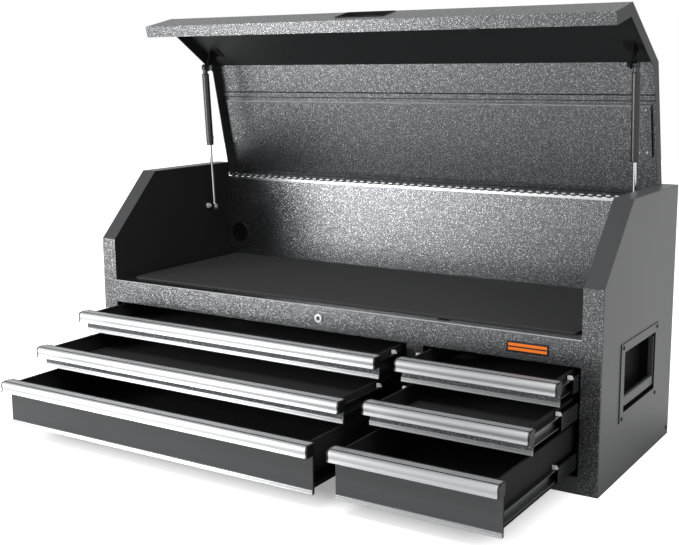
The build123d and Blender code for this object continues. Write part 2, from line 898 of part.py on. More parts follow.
with BuildPart() as strut_tube:
    with BuildSketch(strut_foot.offset(tube_start)):
        Circle(tube_radius)
    extrude(amount=tube_end - tube_start)
    with BuildSketch(strut_foot.offset(tube_end)):
        Circle(tube_neck_radius)
    extrude(amount=tube_cap_gap - eye_radius / 2)
    with BuildSketch(strut_foot.offset(tube_start)):
        RegularPolygon(rod_radius + running_fit, bore_sides, major_radius=False)
    extrude(amount=tube_bore_depth, mode=Mode.SUBTRACT)
    with BuildSketch(Plane.YZ.offset(-eye_side)):
        with Locations((strut_head_y, strut_head_z)):
            Circle(eye_radius)
    extrude(amount=-eye_width)
    with BuildSketch(Plane.YZ.offset(-bracket_plane - moving_gap)):
        with Locations((strut_head_y, strut_head_z)):
            Circle(stud_radius)
    extrude(amount=bracket_plane - eye_side)

for name, strut_piece in (("strut_rod", strut_rod), ("strut_tube", strut_tube)):
    with BuildPart() as right_piece:
        mirror(strut_piece.part, about=Plane.YZ)
    write(strut_piece.part, f"left_{name}")
    write(right_piece.part, f"right_{name}")

# Studs on the till walls that the struts' feet turn on
with BuildPart() as strut_studs:
    for side in (-1, 1):
        with BuildSketch(Plane.YZ.offset(side * inner_half)):
            with Locations((strut_foot_y, strut_foot_z)):
                RegularPolygon(nut_radius, 6)
        extrude(amount=-side * nut_height)
        with BuildSketch(Plane.YZ.offset(side * inner_half)):
            with Locations((strut_foot_y, strut_foot_z)):
                Circle(stud_radius)
        extrude(amount=-side * (strut_from_wall + eye_width / 2 + stud_overrun))
write(strut_studs.part, "strut_studs")

# Handle cups: a flanged pocket let into each side panel, with holes for the bail's pins
pivot_x = width / 2 - bail_pivot_depth
pivot_z = handle_z + cup_height / 2 - bail_pivot_drop
with BuildPart() as handle_cups:
    for side in (-1, 1):
        with BuildSketch(Plane.YZ.offset(side * width / 2)):
            with Locations((0, handle_z)):
                Rectangle(handle_plate_width, handle_plate_height)
        extrude(amount=side * handle_plate)
        with BuildSketch(Plane.YZ.offset(side * width / 2)):
            with Locations((0, handle_z)):
                Rectangle(cup_width + 2 * cup_wall, cup_height + 2 * cup_wall)
        extrude(amount=-side * (cup_depth + cup_wall))
        with BuildSketch(Plane.YZ.offset(side * (width / 2 + handle_plate))):
            with Locations((0, handle_z)):
                Rectangle(cup_width, cup_height)
        extrude(amount=-side * (cup_depth + handle_plate), mode=Mode.SUBTRACT)
        with BuildSketch(Plane.XZ.offset(-cup_width)):
            with Locations((side * pivot_x, pivot_z)):
                RegularPolygon(bail_pin_radius + running_fit, bore_sides, major_radius=False)
        extrude(amount=2 * cup_width, mode=Mode.SUBTRACT)
write(handle_cups.part, "handle_cups")

# Swinging bails: a strap with a deep grip along its lower edge, hung on two pins
bail_half = cup_width / 2 - bail_gap
for name, side in (("left", -1), ("right", 1)):
    with BuildPart() as bail:
        with BuildSketch(Plane.YZ.offset(side * (pivot_x - bail_thickness / 2))):
            with Locations((0, pivot_z + bail_over_pin)):
                Rectangle(
                    2 * bail_half,
                    bail_drop + bail_over_pin,
                    align=(Align.CENTER, Align.MAX),
                )
                Rectangle(
                    2 * (bail_half - bail_arm),
                    bail_drop + bail_over_pin - bail_grip,
                    align=(Align.CENTER, Align.MAX),
                    mode=Mode.SUBTRACT,
                )
        extrude(amount=side * bail_thickness)
        grip_edges = bail.edges().filter_by(Axis.Y).group_by(Axis.Z)
        fillet(grip_edges[0] + grip_edges[1], bail_rounding)
        for end in (-1, 1):
            with BuildSketch(Plane.XZ.offset(end * (cup_width / 2 + cup_wall))):
                with Locations((side * pivot_x, pivot_z)):
                    RegularPolygon(bail_pin_radius, bore_sides)
            extrude(amount=-end * (cup_wall + bail_gap + bail_arm / 2))
    write(bail.part, f"{name}_handle_bail")

# Lock: a flanged barrel through the fascia, and the plug with its keyway and cam
with BuildPart() as lock_barrel:
    with BuildSketch(Plane.XZ.offset(-front)):
        with Locations((0, lock_height)):
            RegularPolygon(lock_flange_radius, round_sides)
    extrude(amount=lock_flange)
    with BuildSketch(Plane.XZ.offset(-front)):
        with Locations((0, lock_height)):
            RegularPolygon(lock_barrel_radius, round_sides)
    extrude(amount=-lock_depth)
    with BuildSketch(Plane.XZ.offset(-front + lock_flange)):
        with Locations((0, lock_height)):
            RegularPolygon(lock_plug_radius + running_fit, round_sides, major_radius=False)
    extrude(amount=-lock_depth - 2 * lock_flange, mode=Mode.SUBTRACT)
write(lock_barrel.part, "lock_barrel")

with BuildPart() as lock_plug:
    with BuildSketch(Plane.XZ.offset(-front + lock_flange / 2)):
        with Locations((0, lock_height)):
            Circle(lock_plug_radius)
    extrude(amount=-lock_depth - lock_flange / 2 - moving_gap - cam_thickness)
    with BuildSketch(Plane.XZ.offset(-front + lock_flange / 2)):
        with Locations((0, lock_height)):
            Rectangle(keyway_width, lock_plug_radius)
    extrude(amount=-keyway_depth, mode=Mode.SUBTRACT)
    with BuildSketch(Plane.XZ.offset(-front - lock_depth - moving_gap)):
        with Locations((0, lock_height)):
            Circle(cam_width / 2)
            Rectangle(cam_width, cam_length, align=(Align.CENTER, Align.MAX))
    extrude(amount=-cam_thickness)
write(lock_plug.part, "lock_plug")

# Cable grommet: a moulded ring snapped into the back panel, closed by a thin web for the cables
with BuildPart() as cable_grommet:
    with BuildSketch(Plane.XZ.offset(-back_inner)):
        with Locations((grommet_x, grommet_z)):
            RegularPolygon(grommet_flange_radius, round_sides)
    extrude(amount=grommet_flange)
    with BuildSketch(Plane.XZ.offset(-back_inner)):
        with Locations((grommet_x, grommet_z)):
            RegularPolygon(grommet_hole_radius, round_sides)
    extrude(amount=-sheet)
    with BuildSketch(Plane.XZ.offset(-back_inner + grommet_flange)):
        with Locations((grommet_x, grommet_z)):
            RegularPolygon(grommet_web_radius, round_sides)
    extrude(amount=-grommet_flange, mode=Mode.SUBTRACT)
write(cable_grommet.part, "cable_grommet")
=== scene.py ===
import json
import math

import bmesh
import bpy
from mathutils import Matrix, Vector


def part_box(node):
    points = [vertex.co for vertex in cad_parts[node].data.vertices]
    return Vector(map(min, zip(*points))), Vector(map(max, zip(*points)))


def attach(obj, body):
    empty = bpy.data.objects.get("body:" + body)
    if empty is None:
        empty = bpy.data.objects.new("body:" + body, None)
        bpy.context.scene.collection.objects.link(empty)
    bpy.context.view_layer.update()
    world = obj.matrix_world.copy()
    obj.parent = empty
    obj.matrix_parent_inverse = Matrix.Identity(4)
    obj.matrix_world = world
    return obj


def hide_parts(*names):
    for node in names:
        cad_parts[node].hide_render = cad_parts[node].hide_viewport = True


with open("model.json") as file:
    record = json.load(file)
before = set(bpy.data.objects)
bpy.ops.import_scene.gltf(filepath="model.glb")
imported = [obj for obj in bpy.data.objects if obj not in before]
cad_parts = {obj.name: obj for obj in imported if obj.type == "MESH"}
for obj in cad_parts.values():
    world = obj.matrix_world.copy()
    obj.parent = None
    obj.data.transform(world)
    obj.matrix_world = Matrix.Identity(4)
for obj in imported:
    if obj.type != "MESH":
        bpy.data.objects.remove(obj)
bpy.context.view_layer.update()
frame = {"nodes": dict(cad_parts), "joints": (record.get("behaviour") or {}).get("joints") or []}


# Back panel and centre divider
# Sheet steel under a baked silver-vein powder coat: dark grey, pebbled and half glossy, so that it
# glints in fine grains where the light strikes it. The grain is drawn as coarse as it needs to show.
MILLIMETRE = 0.001
VEIN_DARK = "#58595b"
VEIN_LIGHT = "#b2b3b5"
VEIN_STARTS = 0.5
VEIN_FULL = 0.7
VEIN_ROUGHNESS = 0.27
VEIN_METALLIC = 0.92
PEBBLE = 2.0 * MILLIMETRE
PEBBLE_HEIGHT = 0.35 * MILLIMETRE
GRAIN_TILT = (0.61, 0.37, 0.83)


def linear(hex_colour):
    """Linear RGBA of an sRGB hex colour."""
    channels = [int(hex_colour[i : i + 2], 16) / 255 for i in (1, 3, 5)]
    return [c / 12.92 if c <= 0.04045 else ((c + 0.055) / 1.055) ** 2.4 for c in channels] + [1.0]


def node(material, kind, inputs=(), **settings):
    """Add a shader node with its settings; each input gets a value or the socket that feeds it."""
    added = material.node_tree.nodes.new(kind)
    for setting, value in settings.items():
        setattr(added, setting, value)
    for socket, value in dict(inputs).items():
        if isinstance(value, bpy.types.NodeSocket):
            material.node_tree.links.new(value, added.inputs[socket])
        else:
            added.inputs[socket].default_value = value
    return added


def one_coat(name, shader):
    """Material that has one shader all over."""
    coat = bpy.data.materials.new(name)
    coat.use_nodes = True
    coat.node_tree.nodes.clear()
    output = coat.node_tree.nodes.new("ShaderNodeOutputMaterial")
    coat.node_tree.links.new(shader(coat).outputs[0], output.inputs["Surface"])
    return coat


def paint(material, *names):
    """Give CAD nodes a material through their objects' own slots."""
    for name in names:
        for place in frame["nodes"][name].material_slots:
            place.link = "OBJECT"
            place.material = material


def vein_shader(coat, metallic=VEIN_METALLIC):
    """Pebbled metallic powder whose grains stand up and catch the light."""
    place = node(coat, "ShaderNodeTexCoord").outputs["Object"]
    tilted = node(coat, "ShaderNodeMapping", {"Vector": place, "Rotation": GRAIN_TILT})
    pebbles = node(
        coat, "ShaderNodeTexNoise", {"Vector": tilted.outputs[0], "Scale": 1 / PEBBLE, "Detail": 2}
    )
    tones = node(coat, "ShaderNodeValToRGB", {"Fac": pebbles.outputs["Fac"]})
    tones.color_ramp.elements[0].position = VEIN_STARTS
    tones.color_ramp.elements[0].color = linear(VEIN_DARK)
    tones.color_ramp.elements[1].position = VEIN_FULL
    tones.color_ramp.elements[1].color = linear(VEIN_LIGHT)
    domes = node(
        coat,
        "ShaderNodeBump",
        {"Height": pebbles.outputs["Fac"], "Strength": 1.0, "Distance": PEBBLE_HEIGHT},
    )
    return node(
        coat,
        "ShaderNodeBsdfPrincipled",
        {
            "Base Color": tones.outputs["Color"],
            "Metallic": metallic,
            "Roughness": VEIN_ROUGHNESS,
            "Normal": domes.outputs["Normal"],
        },
    )


vein_coat = one_coat("silver_vein_powder_coat", vein_shader)
paint(vein_coat, "back_panel", "centre_divider")


# Side panels, bottom and the chest's inside
# Outside, sheet steel under a finer powder of the same grey, satin with a faint orange peel, but
# silver vein on the side panels' narrow front faces. The inner walls and the till's floor are matt
# black.
SATIN_GREY = "#454647"
SATIN_ROUGHNESS = 0.36
INSIDE_BLACK = "#272728"
MATT_ROUGHNESS = 0.6
MATT_SHINE = 0.08
PEEL = 1.8 * MILLIMETRE
PEEL_HEIGHT = 0.15 * MILLIMETRE
PEEL_STRENGTH = 0.7
DRIFTS_PER_METRE = 9.0
DRIFT_LOW = 0.9
DRIFT_HIGH = 1.1
EDGE_SAMPLES = 6
FACING = 0.9


def smooth_shader(coat, colour, roughness, rounding=0, shine=0.5):
    """Smooth finish with a faint orange peel and a little drift in tone, for powder, enamel or plastic."""
    place = node(coat, "ShaderNodeTexCoord").outputs["Object"]
    skin = node(coat, "ShaderNodeTexNoise", {"Vector": place, "Scale": 1 / PEEL, "Detail": 2})
    drift = node(coat, "ShaderNodeTexNoise", {"Vector": place, "Scale": DRIFTS_PER_METRE, "Detail": 2})
    tone = node(
        coat,
        "ShaderNodeMapRange",
        {"Value": drift.outputs["Fac"], "To Min": DRIFT_LOW, "To Max": DRIFT_HIGH},
    )
    colours = node(
        coat,
        "ShaderNodeVectorMath",
        {0: linear(colour)[:3], "Scale": tone.outputs[0]},
        operation="SCALE",
    )
    bumps = node(
        coat,
        "ShaderNodeBump",
        {"Height": skin.outputs["Fac"], "Strength": PEEL_STRENGTH, "Distance": PEEL_HEIGHT},
    )
    if rounding:
        rounded = node(coat, "ShaderNodeBevel", {"Radius": rounding}, samples=EDGE_SAMPLES)
        coat.node_tree.links.new(rounded.outputs[0], bumps.inputs["Normal"])
    return node(
        coat,
        "ShaderNodeBsdfPrincipled",
        {
            "Base Color": colours.outputs[0],
            "Roughness": roughness,
            "Specular IOR Level": shine,
            "Normal": bumps.outputs["Normal"],
        },
    )


def satin_shader(coat):
    """The outside's satin grey powder."""
    return smooth_shader(coat, SATIN_GREY, SATIN_ROUGHNESS)


def matt_shader(coat):
    """The inside's matt black powder."""
    return smooth_shader(coat, INSIDE_BLACK, MATT_ROUGHNESS, shine=MATT_SHINE)


def along(material, coordinate, direction, threshold):
    """One where the object's coordinate, taken along the direction, is past the threshold, else zero."""
    source = node(material, "ShaderNodeTexCoord").outputs[coordinate]
    part = node(material, "ShaderNodeVectorMath", {0: source, 1: direction}, operation="DOT_PRODUCT")
    return node(
        material,
        "ShaderNodeMath",
        {0: part.outputs["Value"], 1: threshold},
        operation="GREATER_THAN",
    ).outputs[0]


def two_coats(name, first, second, mask):
    """Material with one shader where the mask is zero and another where it is one."""
    return one_coat(
        name,
        lambda coat: node(
            coat,
            "ShaderNodeMixShader",
            {0: mask(coat), 1: first(coat).outputs[0], 2: second(coat).outputs[0]},
        ),
    )


satin_coat = one_coat("satin_powder_coat", satin_shader)
paint(satin_coat, "bottom_panel")
black_coat = one_coat("black_powder_coat", matt_shader)
paint(black_coat, "inner_walls", "till_floor")
side_coat = two_coats(
    "side_panel_coat",
    satin_shader,
    vein_shader,
    lambda coat: along(coat, "Normal", (0, -1, 0), FACING),
)
paint(side_coat, "left_side_panel", "right_side_panel")


# Fascia
# The folded steel front above the drawers, in silver vein. A thin pale line is painted along the bend at
# its upper front edge as a highlight.
BEND_HIGHLIGHT = "#bdbebe"
BEND_ROUGHNESS = 0.3
BEND_WIDTH = 1.2 * MILLIMETRE
fascia_low, fascia_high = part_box("front_fascia")


def bend_highlight_mask(coat):
    """One along the bend between the fascia's face and its top, where the highlight is painted."""
    face = along(coat, "Object", (0, -1, 0), -fascia_low.y - BEND_WIDTH)
    top = along(coat, "Object", (0, 0, 1), fascia_high.z - BEND_WIDTH)
    return node(coat, "ShaderNodeMath", {0: face, 1: top}, operation="MULTIPLY").outputs[0]


fascia_coat = two_coats(
    "silver_vein_fascia",
    vein_shader,
    lambda coat: smooth_shader(coat, BEND_HIGHLIGHT, BEND_ROUGHNESS),
    bend_highlight_mask,
)
paint(fascia_coat, "front_fascia")


# Side handles
# A pressed steel cup is let into each side panel, with a satin grey plate round a recess that is coloured
# near black. A satin grey bail hangs in it on two pins.
CUP_BLACK = "#171718"
PLATE_SKIN = 0.6 * MILLIMETRE
cups_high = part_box("handle_cups")[1]


def plate_mask(coat):
    """One on the outer faces of the two plates."""
    right = along(coat, "Object", (1, 0, 0), cups_high.x - PLATE_SKIN)
    left = along(coat, "Object", (-1, 0, 0), cups_high.x - PLATE_SKIN)
    return node(coat, "ShaderNodeMath", {0: right, 1: left}, operation="ADD").outputs[0]


cup_coat = two_coats(
    "handle_plate_coat",
    lambda coat: smooth_shader(coat, CUP_BLACK, MATT_ROUGHNESS, shine=MATT_SHINE),
    satin_shader,
    plate_mask,
)
paint(cup_coat, "handle_cups")
paint(satin_coat, "left_handle_bail", "right_handle_bail")


# Lid
# One folded steel sheet in silver vein, with its slant's inside and its end rims painted smooth and nearly
# black as shade. The stiffener across it has a highlight painted along its upper edge, and its finger grip
# is matt black.
LID_SHADE_TONE = "#28292a"
SLANT_ROUGHNESS = 0.55
STIFFENER_HIGHLIGHT = "#c8c9ca"
STIFFENER_ROUGHNESS = 0.3
STIFFENER_EDGE = 2.2 * MILLIMETRE
LID_ANGLE = math.radians(next(j["range_deg"][1] for j in frame["joints"] if j["name"] == "lid_hinge"))
OPENING = Matrix.Rotation(-LID_ANGLE, 3, "X")
slant_inside = OPENING @ Vector((0, 1, -1)).normalized()
stiffener_low, stiffener_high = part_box("lid_stiffener")


def lid_shade_mask(coat):
    """One on the slant's inside and on the end rims, which are painted dark as shade."""
    slant = along(coat, "Normal", tuple(slant_inside), FACING)
    right = along(coat, "Normal", (1, 0, 0), FACING)
    left = along(coat, "Normal", (-1, 0, 0), FACING)
    ends = node(coat, "ShaderNodeMath", {0: right, 1: left}, operation="ADD").outputs[0]
    return node(coat, "ShaderNodeMath", {0: slant, 1: ends}, operation="MAXIMUM").outputs[0]


lid_coat = two_coats(
    "silver_vein_lid",
    vein_shader,
    lambda coat: smooth_shader(coat, LID_SHADE_TONE, SLANT_ROUGHNESS),
    lid_shade_mask,
)
paint(lid_coat, "lid_shell")
# The stiffener's upper edge is painted pale as a highlight.
stiffener_coat = two_coats(
    "lid_stiffener_coat",
    vein_shader,
    lambda coat: smooth_shader(coat, STIFFENER_HIGHLIGHT, STIFFENER_ROUGHNESS),
    lambda coat: along(coat, "Object", (0, 0, 1), stiffener_high.z - STIFFENER_EDGE),
)
paint(stiffener_coat, "lid_stiffener")
paint(black_coat, "lid_grip")


# Drawers
# Each steel tray is sprayed matt black, and its face is finished on the front only: satin grey on
# the deep drawers, and on the shallow ones a pebbled powder with little metal in it.
BANKS = ("left", "right")
ROWS = ("top", "middle", "bottom")
FACE_DEPTH = 1.2 * MILLIMETRE
FACE_METALLIC = 0.15


def shallow_face_shader(coat):
    """The pebbled powder on the shallow drawers' faces."""
    return vein_shader(coat, FACE_METALLIC)


for bank in BANKS:
    for row in ROWS:
        face_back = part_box(f"{bank}_{row}_tray")[0].y + FACE_DEPTH
        drawer_coat = two_coats(
            f"{bank}_{row}_drawer_coat",
            matt_shader,
            satin_shader if row == "bottom" else shallow_face_shader,
            lambda coat: along(coat, "Object", (0, -1, 0), -face_back),
        )
        paint(drawer_coat, f"{bank}_{row}_tray")


# Till mat and drawer liners
# Charcoal closed-cell foam rubber, cut from sheet and laid in loose. Its cut cells leave it dull and
# faintly grainy, and they are drawn as coarse as they need to show.
FOAM = "#3c3c3d"
FOAM_ROUGHNESS = 0.75
FOAM_CELL = 1.2 * MILLIMETRE
FOAM_CELL_DEPTH = 0.3 * MILLIMETRE


def foam_shader(coat):
    """Dull foam with open cells on its skin."""
    place = node(coat, "ShaderNodeTexCoord").outputs["Object"]
    cells = node(coat, "ShaderNodeTexNoise", {"Vector": place, "Scale": 1 / FOAM_CELL, "Detail": 3})
    bumps = node(
        coat,
        "ShaderNodeBump",
        {"Height": cells.outputs["Fac"], "Strength": 0.5, "Distance": FOAM_CELL_DEPTH},
    )
    return node(
        coat,
        "ShaderNodeBsdfPrincipled",
        {"Base Color": linear(FOAM), "Roughness": FOAM_ROUGHNESS, "Normal": bumps.outputs["Normal"]},
    )


foam = one_coat("foam_rubber", foam_shader)
paint(foam, "till_mat", *[f"{bank}_{row}_liner" for bank in BANKS for row in ROWS])


# Pulls and trim strips
# Each pull and each trim strip below a drawer's face is an aluminium extrusion, brushed along its length
# and satin anodised, so that its highlights run round the section. The draw lines are drawn as coarse as
# they need to show. The caps pressed on a pull's two ends are black plastic, and the groove behind the
# nose is painted the same black as the shade in it.
ALUMINIUM = "#cfd0d1"
DRAW_LINE = 0.5 * MILLIMETRE
DRAW_STRETCH = 0.01
BRUSHED_SMOOTH = 0.36
BRUSHED_ROUGH = 0.46
CAP_BLACK_AND_GROOVE_SHADE = "#141415"
CAP_ROUGHNESS = 0.4
CAP_LENGTH = 3.0 * MILLIMETRE
GROOVE_BACK = 13.3 * MILLIMETRE
GROOVE_FRONT = 15.3 * MILLIMETRE
GROOVE_DEPTH = 2.0 * MILLIMETRE
SHARP_EDGE = math.radians(32)
PULL_OUTSIDE = [
    (0, 0), (13.4, 0), (13.5, -1.1), (15.0, -1.3), (15.1, -0.5), (16.4, -0.9), (17.7, -1.8), (18.8, -3.1),
    (19.6, -4.8), (20.0, -6.8), (20.0, -8.8), (19.7, -10.8), (19.2, -12.6), (18.9, -14.2), (19.0, -15.4),
    (19.5, -16.8), (20.3, -18.0), (20.5, -18.8), (20.2, -19.4), (19.4, -19.5),
]
PULL_INSIDE = [
    (18.4, -18.4), (17.4, -15.6), (17.3, -13.0), (17.9, -9.5), (17.6, -6.0), (16.0, -3.6), (12.0, -2.4),
    (1.8, -1.8), (1.8, -12.0), (0, -12.0),
]
PULL_FOOT = [(0.4, -19.5), (0.4, -12.0), (0, -12.0)]
TRIM = [
    (0, 0), (1.6, 0), (2.3, 0.4), (2.6, 1.3), (2.3, 2.2), (1.4, 2.8), (1.3, 3.8), (1.4, 4.8), (2.3, 5.4),
    (2.6, 6.3), (2.3, 7.2), (1.6, 7.6), (0, 7.6),
]


def aluminium_shader(metal):
    """Satin aluminium brushed along X."""
    place = node(metal, "ShaderNodeTexCoord").outputs["Object"]
    stretch = node(metal, "ShaderNodeMapping", {"Vector": place, "Scale": [DRAW_STRETCH, 1, 1]})
    lines = node(
        metal,
        "ShaderNodeTexNoise",
        {"Vector": stretch.outputs[0], "Scale": 1 / DRAW_LINE, "Detail": 2},
    )
    rough = node(
        metal,
        "ShaderNodeMapRange",
        {"Value": lines.outputs["Fac"], "To Min": BRUSHED_SMOOTH, "To Max": BRUSHED_ROUGH},
    )
    brushed_along = node(metal, "ShaderNodeCombineXYZ", {0: 1.0})
    return node(
        metal,
        "ShaderNodeBsdfPrincipled",
        {
            "Base Color": linear(ALUMINIUM),
            "Metallic": 1.0,
            "Roughness": rough.outputs[0],
            "Anisotropic": 0.8,
            "Anisotropic Rotation": 0.25,
            "Tangent": brushed_along.outputs[0],
        },
    )


def caps_and_groove_shade_mask(coat, low, high):
    """One on the caps at both ends of a pull, and in the groove behind its nose, where shade is painted.
    """
    left_cap = along(coat, "Object", (-1, 0, 0), -low.x - CAP_LENGTH)
    right_cap = along(coat, "Object", (1, 0, 0), high.x - CAP_LENGTH)
    caps = node(coat, "ShaderNodeMath", {0: left_cap, 1: right_cap}, operation="ADD").outputs[0]
    behind = along(coat, "Object", (0, 1, 0), high.y - GROOVE_FRONT)
    band = along(coat, "Object", (0, 1, 0), high.y - GROOVE_BACK)
    groove = node(coat, "ShaderNodeMath", {0: behind, 1: band}, operation="SUBTRACT").outputs[0]
    top = along(coat, "Object", (0, 0, 1), high.z - GROOVE_DEPTH)
    line = node(coat, "ShaderNodeMath", {0: groove, 1: top}, operation="MULTIPLY").outputs[0]
    return node(coat, "ShaderNodeMath", {0: caps, 1: line}, operation="MAXIMUM").outputs[0]


def add_extrusion(shape, section, face_y, top_z, low_x, high_x):
    """Extrude a section along X; its points are millimetres out from the face and up from the top."""
    corners = [
        shape.verts.new((low_x, face_y - out * MILLIMETRE, top_z + up * MILLIMETRE)) for out, up in section
    ]
    end = shape.faces.new(corners)
    swept = bmesh.ops.extrude_face_region(shape, geom=[end])
    moved = [part for part in swept["geom"] if isinstance(part, bmesh.types.BMVert)]
    bmesh.ops.translate(shape, verts=moved, vec=(high_x - low_x, 0, 0))


def add_piece(name, shape, material, body):
    """Turn a finished bmesh into an object at the origin that rides on a CAD body."""
    for face in shape.faces:
        face.smooth = True
    mesh = bpy.data.meshes.new(name)
    shape.to_mesh(mesh)
    shape.free()
    mesh.set_sharp_from_angle(angle=SHARP_EDGE)
    mesh.materials.append(material)
    piece = bpy.data.objects.new(name, mesh)
    bpy.context.scene.collection.objects.link(piece)
    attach(piece, body)
    return piece


for bank in BANKS:
    for row in ROWS:
        pull_low, pull_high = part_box(f"{bank}_{row}_pull")
        pull_coat = two_coats(
            f"{bank}_{row}_pull_finish",
            aluminium_shader,
            lambda coat: smooth_shader(coat, CAP_BLACK_AND_GROOVE_SHADE, CAP_ROUGHNESS),
            lambda coat: caps_and_groove_shade_mask(coat, pull_low, pull_high),
        )
        pull = bmesh.new()
        bar_low, bar_high = pull_low.x + CAP_LENGTH, pull_high.x - CAP_LENGTH
        add_extrusion(pull, PULL_OUTSIDE + PULL_INSIDE, pull_high.y, pull_high.z, bar_low, bar_high)
        for cap_low in (pull_low.x, bar_high):
            add_extrusion(
                pull, PULL_OUTSIDE + PULL_FOOT, pull_high.y, pull_high.z, cap_low, cap_low + CAP_LENGTH
            )
        add_extrusion(pull, TRIM, pull_high.y, pull_low.z, bar_low, bar_high)
        bmesh.ops.recalc_face_normals(pull, faces=pull.faces)
        bar = add_piece(f"{bank}_{row}_pull_bar", pull, pull_coat, f"{bank}_{row}_drawer")
        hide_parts(f"{bank}_{row}_pull")


# Drawer slides
# Rolled steel members that run on balls. The ones on the bay walls and in the middle are zinc-plated
# and passivated black, and the ones on the trays are left grey. The plating clouds a little. A white
# plastic stop sits in the front end of each middle member.
SLIDE_BLACK_AND_HINGE_SHADE = "#2a2b2c"
RAIL_ZINC = "#767778"
CLOUDS_PER_METRE = 60.0
ZINC_SMOOTH = 0.24
ZINC_ROUGH = 0.42
STOP_WHITE = "#e4e4e2"
STOP_ROUGHNESS = 0.5
STOP_LENGTH = 3.1 * MILLIMETRE
STOP_HEIGHT = 6.0 * MILLIMETRE


def zinc_shader(metal, colour, rounding=0):
    """Clouded zinc plating, with the facets of round pieces rounded off."""
    place = node(metal, "ShaderNodeTexCoord").outputs["Object"]
    cloud = node(metal, "ShaderNodeTexNoise", {"Vector": place, "Scale": CLOUDS_PER_METRE, "Detail": 3})
    rough = node(
        metal,
        "ShaderNodeMapRange",
        {"Value": cloud.outputs["Fac"], "To Min": ZINC_SMOOTH, "To Max": ZINC_ROUGH},
    )
    plating = node(
        metal,
        "ShaderNodeBsdfPrincipled",
        {"Base Color": linear(colour), "Metallic": 1.0, "Roughness": rough.outputs[0]},
    )
    if rounding:
        rounded = node(metal, "ShaderNodeBevel", {"Radius": rounding}, samples=EDGE_SAMPLES)
        metal.node_tree.links.new(rounded.outputs[0], plating.inputs["Normal"])
    return plating


def stop_mask(metal, low, high):
    """One on the upper front end of a middle member."""
    tip = along(metal, "Object", (0, -1, 0), -low.y - STOP_LENGTH)
    top = along(metal, "Object", (0, 0, 1), high.z - STOP_HEIGHT)
    return node(metal, "ShaderNodeMath", {0: tip, 1: top}, operation="MULTIPLY").outputs[0]


dark_zinc = one_coat("black_zinc_plate", lambda metal: zinc_shader(metal, SLIDE_BLACK_AND_HINGE_SHADE))
paint(dark_zinc, "outer_rails")
rail_zinc = one_coat("rail_zinc_plate", lambda metal: zinc_shader(metal, RAIL_ZINC))
for bank in BANKS:
    for row in ROWS:
        paint(rail_zinc, f"{bank}_{row}_inner_rails")
        rails_low, rails_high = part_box(f"{bank}_{row}_mid_rails")
        rail_finish = two_coats(
            f"{bank}_{row}_mid_rail_finish",
            lambda metal: zinc_shader(metal, SLIDE_BLACK_AND_HINGE_SHADE),
            lambda metal: smooth_shader(metal, STOP_WHITE, STOP_ROUGHNESS),
            lambda metal: stop_mask(metal, rails_low, rails_high),
        )
        paint(rail_finish, f"{bank}_{row}_mid_rails")


# Lock
# A die-cast barrel with a bright zinc plating is let into the fascia, and the plug with its keyway
# turns in it, plated a darker zinc.
ZINC = "#4c4d4f"
BRIGHT_ZINC = "#d6d7d7"
zinc = one_coat("zinc_plate", lambda metal: zinc_shader(metal, ZINC))
bright_zinc = one_coat("bright_zinc_plate", lambda metal: zinc_shader(metal, BRIGHT_ZINC))
paint(bright_zinc, "lock_barrel")
paint(zinc, "lock_plug")


# Gas struts
# A hard-chromed rod slides in a tube that is stoved gloss black. A zinc socket closes the tube's
# upper end, and a pressed steel band runs round the tube near its lower end. Each strut hangs
# between a nickelled stud on the till's wall and a nutted one on the lid's black bracket.
CHROME = "#d9dadb"
CHROME_SMOOTH = 0.08
CHROME_ROUGH = 0.16
HAZE = 12.5 * MILLIMETRE
TUBE_BLACK = "#0e0e0f"
TUBE_ROUGHNESS = 0.24
TUBE_SHINE = 0.75
TUBE_RADIUS = 7.5 * MILLIMETRE
FACET_ROUNDING = 2.5 * MILLIMETRE
SOCKET_LENGTH = 21.0 * MILLIMETRE
BAND_FROM_END = 14.0 * MILLIMETRE
BAND_WIDTH = 4.0 * MILLIMETRE
BAND_PROUD = 0.15 * MILLIMETRE
NICKEL = "#e2e2e0"
NICKEL_SHINE = 1.0
STUD_ROUGHNESS = 0.25
NUT_ROUGHNESS = 0.3
NUT_FROM_HEAD = 7.0 * MILLIMETRE
NUT_FROM_MIDDLE = 455.0 * MILLIMETRE
NUT_REACH = 6.0 * MILLIMETRE
slide_joint = next(j for j in frame["joints"] if j["name"] == "left_strut_slide")
strut_up = -Vector(slide_joint["axis"])
tube_reaches = [strut_up.dot(point.co) for point in frame["nodes"]["left_strut_tube"].data.vertices]
head_reach = max(tube_reaches)
foot_reach = min(tube_reaches)


def chrome_shader(metal):
    """Polished hard chrome with a faint haze."""
    place = node(metal, "ShaderNodeTexCoord").outputs["Object"]
    haze = node(metal, "ShaderNodeTexNoise", {"Vector": place, "Scale": 1 / HAZE})
    rough = node(
        metal,
        "ShaderNodeMapRange",
        {"Value": haze.outputs["Fac"], "To Min": CHROME_SMOOTH, "To Max": CHROME_ROUGH},
    )
    return node(
        metal,
        "ShaderNodeBsdfPrincipled",
        {"Base Color": linear(CHROME), "Metallic": 1.0, "Roughness": rough.outputs[0]},
    )


def point_on_strut(side, reach):
    """Point on a strut's own line at a distance along it."""
    low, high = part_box(f"{side}_strut_rod")
    middle = (low + high) / 2
    return middle + strut_up * (reach - strut_up.dot(middle))


def add_ring(shape, centre, direction, outside, inside, length, steps=48):
    """Spin a flat section into a closed ring that starts at the centre and runs along the direction."""
    turn = Vector(direction).to_track_quat("Z", "Y").to_matrix()
    section = [
        shape.verts.new(centre + turn @ Vector((radius, 0, rise)))
        for radius, rise in ((outside, 0), (outside, length), (inside, length), (inside, 0))
    ]
    sides = [shape.edges.new(ends) for ends in zip(section, section[1:] + section[:1])]
    bmesh.ops.spin(
        shape,
        geom=section + sides,
        cent=centre,
        axis=direction,
        angle=2 * math.pi,
        steps=steps,
        use_merge=True,
    )
    bmesh.ops.recalc_face_normals(shape, faces=shape.faces)


